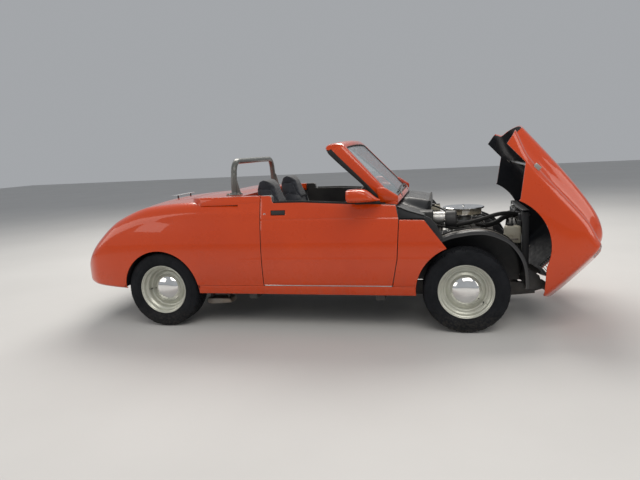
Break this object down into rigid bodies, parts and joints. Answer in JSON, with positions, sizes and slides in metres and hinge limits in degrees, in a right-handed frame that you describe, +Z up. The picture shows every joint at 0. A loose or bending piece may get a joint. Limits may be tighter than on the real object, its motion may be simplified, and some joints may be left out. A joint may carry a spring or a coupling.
{
  "type": "roadster",
  "caption": "Open two-seat sports car with a one-piece tilting front, hinged doors and boot lid, steered front wheels and four wheels that roll",
  "frame": {"origin": "centre of the footprint of the whole part at rest, on the floor that the tyres stand on", "axes": "+X forward, +Y to the car's left, +Z up"},
  "size_m": [4.4119, 2.0004, 1.5556],
  "materials": {
    "alloy": "satin",
    "black_plastic": "matte",
    "body_orange": "gloss",
    "cast_grey": "satin",
    "chrome": "gloss",
    "cowl_black": "satin",
    "dash_vinyl": "matte",
    "floor_black": "satin",
    "frame_black": "satin",
    "glass_tint": "gloss",
    "hoop_grey": "satin",
    "lens_clear": "gloss",
    "lens_red": "gloss",
    "rubber_black": "matte",
    "seat_cloth": "matte",
    "steel": "satin",
    "tank_plastic": "satin",
    "wheel_silver": "gloss"
  },
  "bodies": {
    "chassis": {"frame_rails": "frame_black", "floor_pan": "floor_black", "cowl": "cowl_black", "rear_body": "body_orange", "rear_deck": "body_orange", "rocker_panels": "body_orange", "front_side_panels": "body_orange", "inner_fenders": "cowl_black", "radiator": "alloy", "engine_block": "cast_grey", "valve_covers": "alloy", "air_cleaner": "chrome", "engine_front": "alloy", "exhaust": "steel", "tail_lamps": "lens_red", "coolant_tank": "tank_plastic", "brake_booster": "steel", "gearbox": "alloy", "front_suspension": "frame_black", "rear_axle": "cast_grey", "fuel_tank": "steel", "dashboard": "dash_vinyl", "steering_column": "black_plastic", "roll_hoop": "hoop_grey", "windshield_frame": "body_orange", "windshield_glass": "glass_tint", "seat_left": "seat_cloth", "seat_right": "seat_cloth"},
    "front_tilt": {"front_clip": "body_orange", "headlamps": "lens_clear", "grille": "black_plastic", "clip_brace": "steel"},
    "trunk": {"trunk_lid": "body_orange"},
    "steer": {"steering_wheel": "dash_vinyl"},
    "door_left_body": {"door_left": "body_orange", "door_handle_left": "black_plastic", "mirror_left": "body_orange"},
    "knuckle_left_body": {"knuckle_left": "cast_grey"},
    "wheel_front_left": {"tyre_front_left": "rubber_black", "rim_front_left": "wheel_silver"},
    "wheel_rear_left": {"tyre_rear_left": "rubber_black", "rim_rear_left": "wheel_silver"},
    "door_right_body": {"door_right": "body_orange", "door_handle_right": "black_plastic", "mirror_right": "body_orange"},
    "knuckle_right_body": {"knuckle_right": "cast_grey"},
    "wheel_front_right": {"tyre_front_right": "rubber_black", "rim_front_right": "wheel_silver"},
    "wheel_rear_right": {"tyre_rear_right": "rubber_black", "rim_rear_right": "wheel_silver"}
  },
  "joints": [
    {"name": "front_tilt_hinge", "type": "hinge", "parent": "chassis", "child": "front_tilt", "pos_m": [1.662, 0, 0.245], "axis": [0, 1, 0], "range_deg": [-45, 0]},
    {"name": "door_left_hinge", "type": "hinge", "parent": "chassis", "child": "door_left_body", "pos_m": [0.7, 0.834, 0.61], "axis": [0, 0, -1], "range_deg": [0, 65]},
    {"name": "door_right_hinge", "type": "hinge", "parent": "chassis", "child": "door_right_body", "pos_m": [0.7, -0.834, 0.61], "axis": [0, 0, 1], "range_deg": [0, 65]},
    {"name": "trunk_hinge", "type": "hinge", "parent": "chassis", "child": "trunk", "pos_m": [-1.174, 0, 1.056], "axis": [0, 1, 0], "range_deg": [0, 60]},
    {"name": "steer_right", "type": "hinge", "parent": "chassis", "child": "knuckle_right_body", "pos_m": [1.138, -0.6, 0.326], "axis": [0, 0, 1], "range_deg": [-30, 30]},
    {"name": "steer_left", "type": "hinge", "parent": "chassis", "child": "knuckle_left_body", "pos_m": [1.138, 0.6, 0.326], "axis": [0, 0, 1], "range_deg": [-30, 30]},
    {"name": "steering_wheel_turn", "type": "hinge", "parent": "chassis", "child": "steer", "pos_m": [0.15, 0.35, 0.9], "axis": [-0.9135, 0, 0.4067], "range_deg": [-450, 450]},
    {"name": "spin_front_left", "type": "hinge", "parent": "knuckle_left_body", "child": "wheel_front_left", "pos_m": [1.138, 0.686, 0.326], "axis": [0, 1, 0], "continuous": true},
    {"name": "spin_rear_left", "type": "hinge", "parent": "chassis", "child": "wheel_rear_left", "pos_m": [-1.372, 0.708, 0.326], "axis": [0, 1, 0], "continuous": true},
    {"name": "spin_front_right", "type": "hinge", "parent": "knuckle_right_body", "child": "wheel_front_right", "pos_m": [1.138, -0.686, 0.326], "axis": [0, 1, 0], "continuous": true},
    {"name": "spin_rear_right", "type": "hinge", "parent": "chassis", "child": "wheel_rear_right", "pos_m": [-1.372, -0.708, 0.326], "axis": [0, 1, 0], "continuous": true}
  ],
  "couplings": [
    {"joint": "steer_left", "follows": "steer_right", "ratio": 1},
    {"joint": "steering_wheel_turn", "follows": "steer_right", "ratio": 15}
  ]
}
